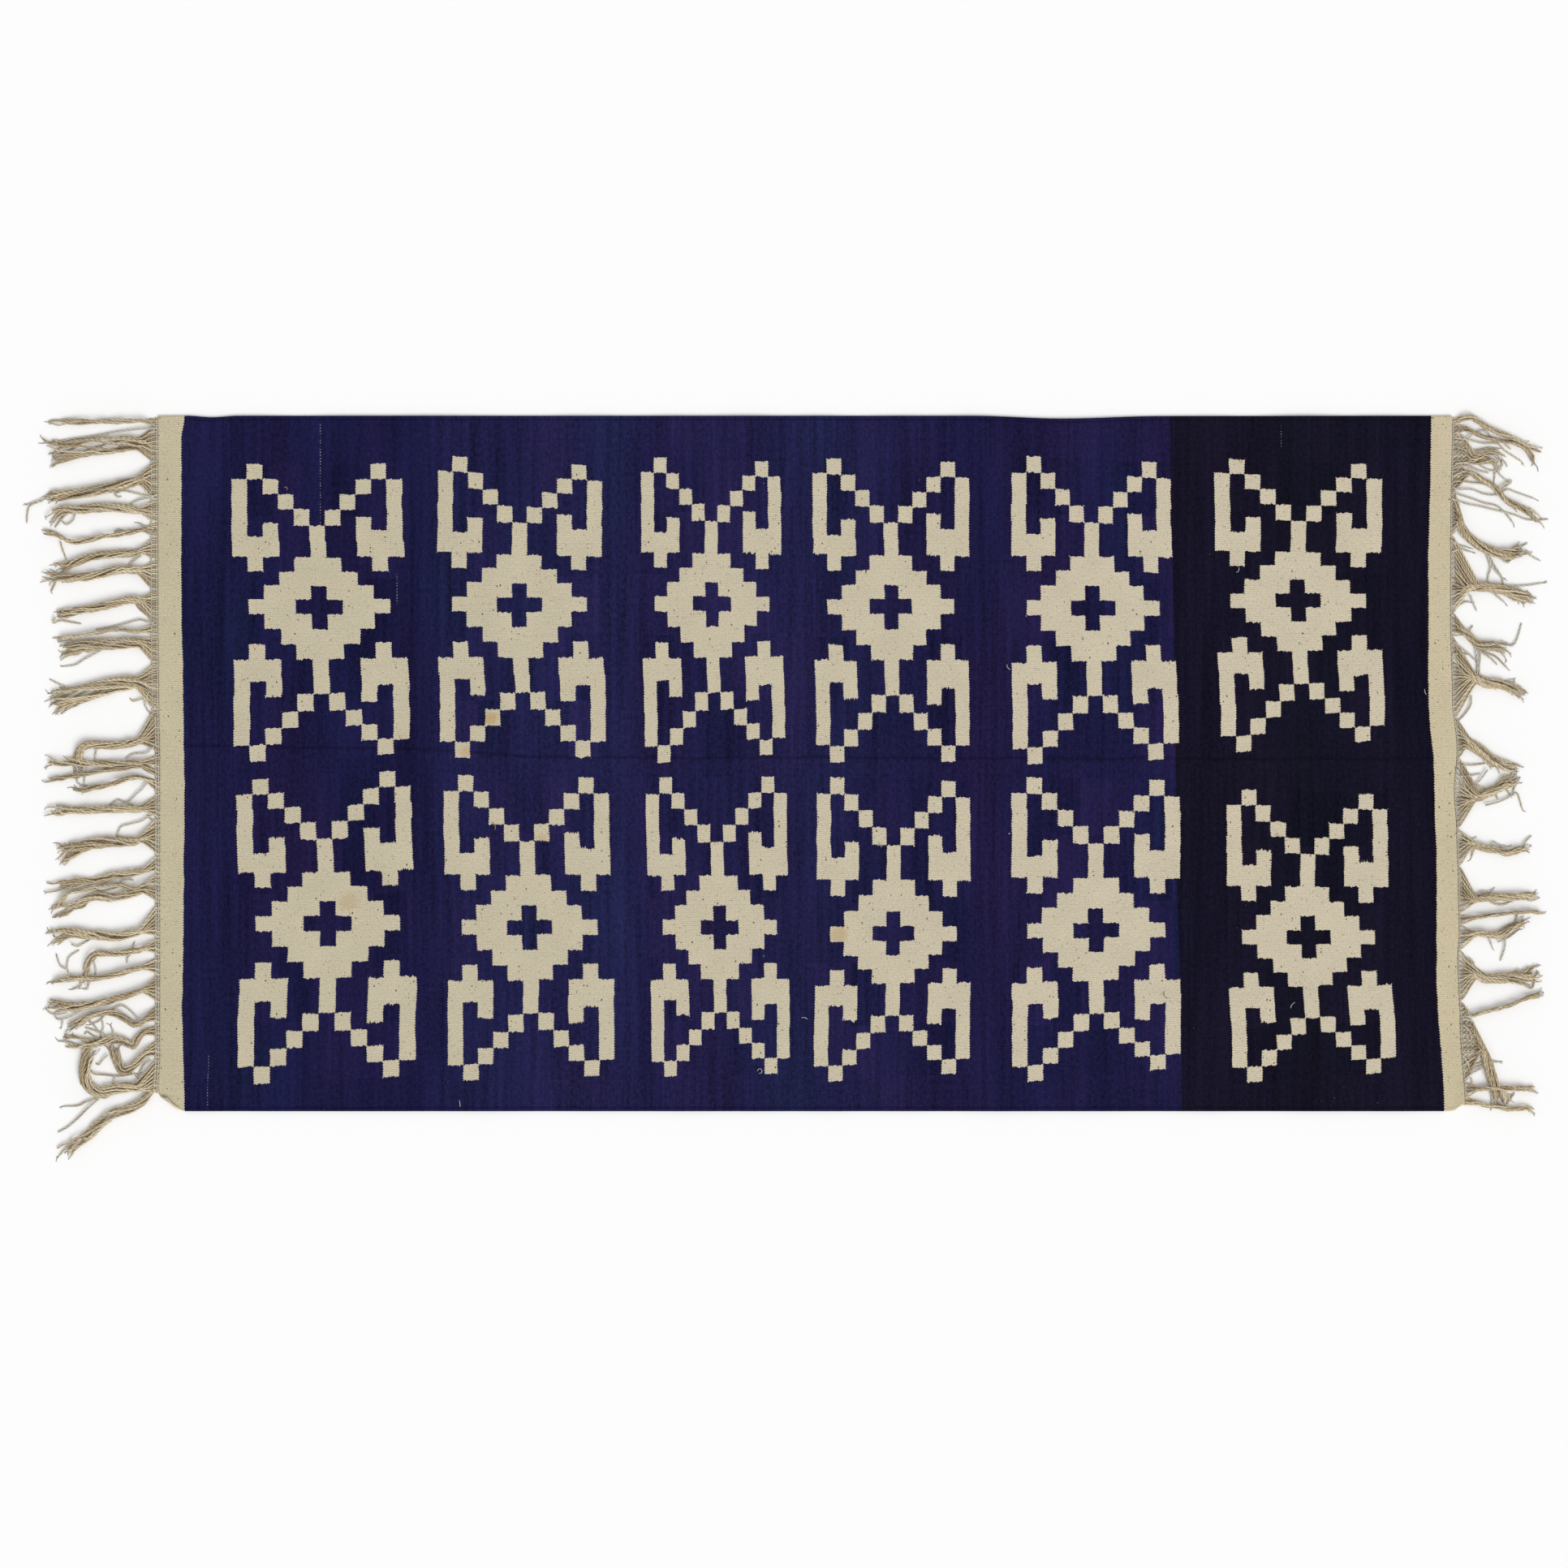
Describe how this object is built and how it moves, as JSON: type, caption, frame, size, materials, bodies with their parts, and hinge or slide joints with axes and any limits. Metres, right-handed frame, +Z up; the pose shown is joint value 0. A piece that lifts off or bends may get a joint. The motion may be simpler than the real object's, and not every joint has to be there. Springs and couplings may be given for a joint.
{
  "type": "dhurrie rug",
  "caption": "Flat-woven cotton rug lying flat, navy ground with cream stepped motifs and end bands, and a knotted warp fringe along each end.",
  "frame": {"origin": "middle of the woven web, on the face that lies on the floor", "axes": "+X along the rug's length, +Y across its width, +Z up out of its patterned face"},
  "size_m": [1.984, 0.9763, 0.0048],
  "materials": {
    "woven_cotton": "matt ribbed flat weave, navy and cream",
    "warp_cotton": "matt plied ecru warp cords"
  },
  "bodies": {
    "root": {"web": "woven_cotton", "fringe_left": "warp_cotton", "fringe_right": "warp_cotton"}
  },
  "joints": []
}
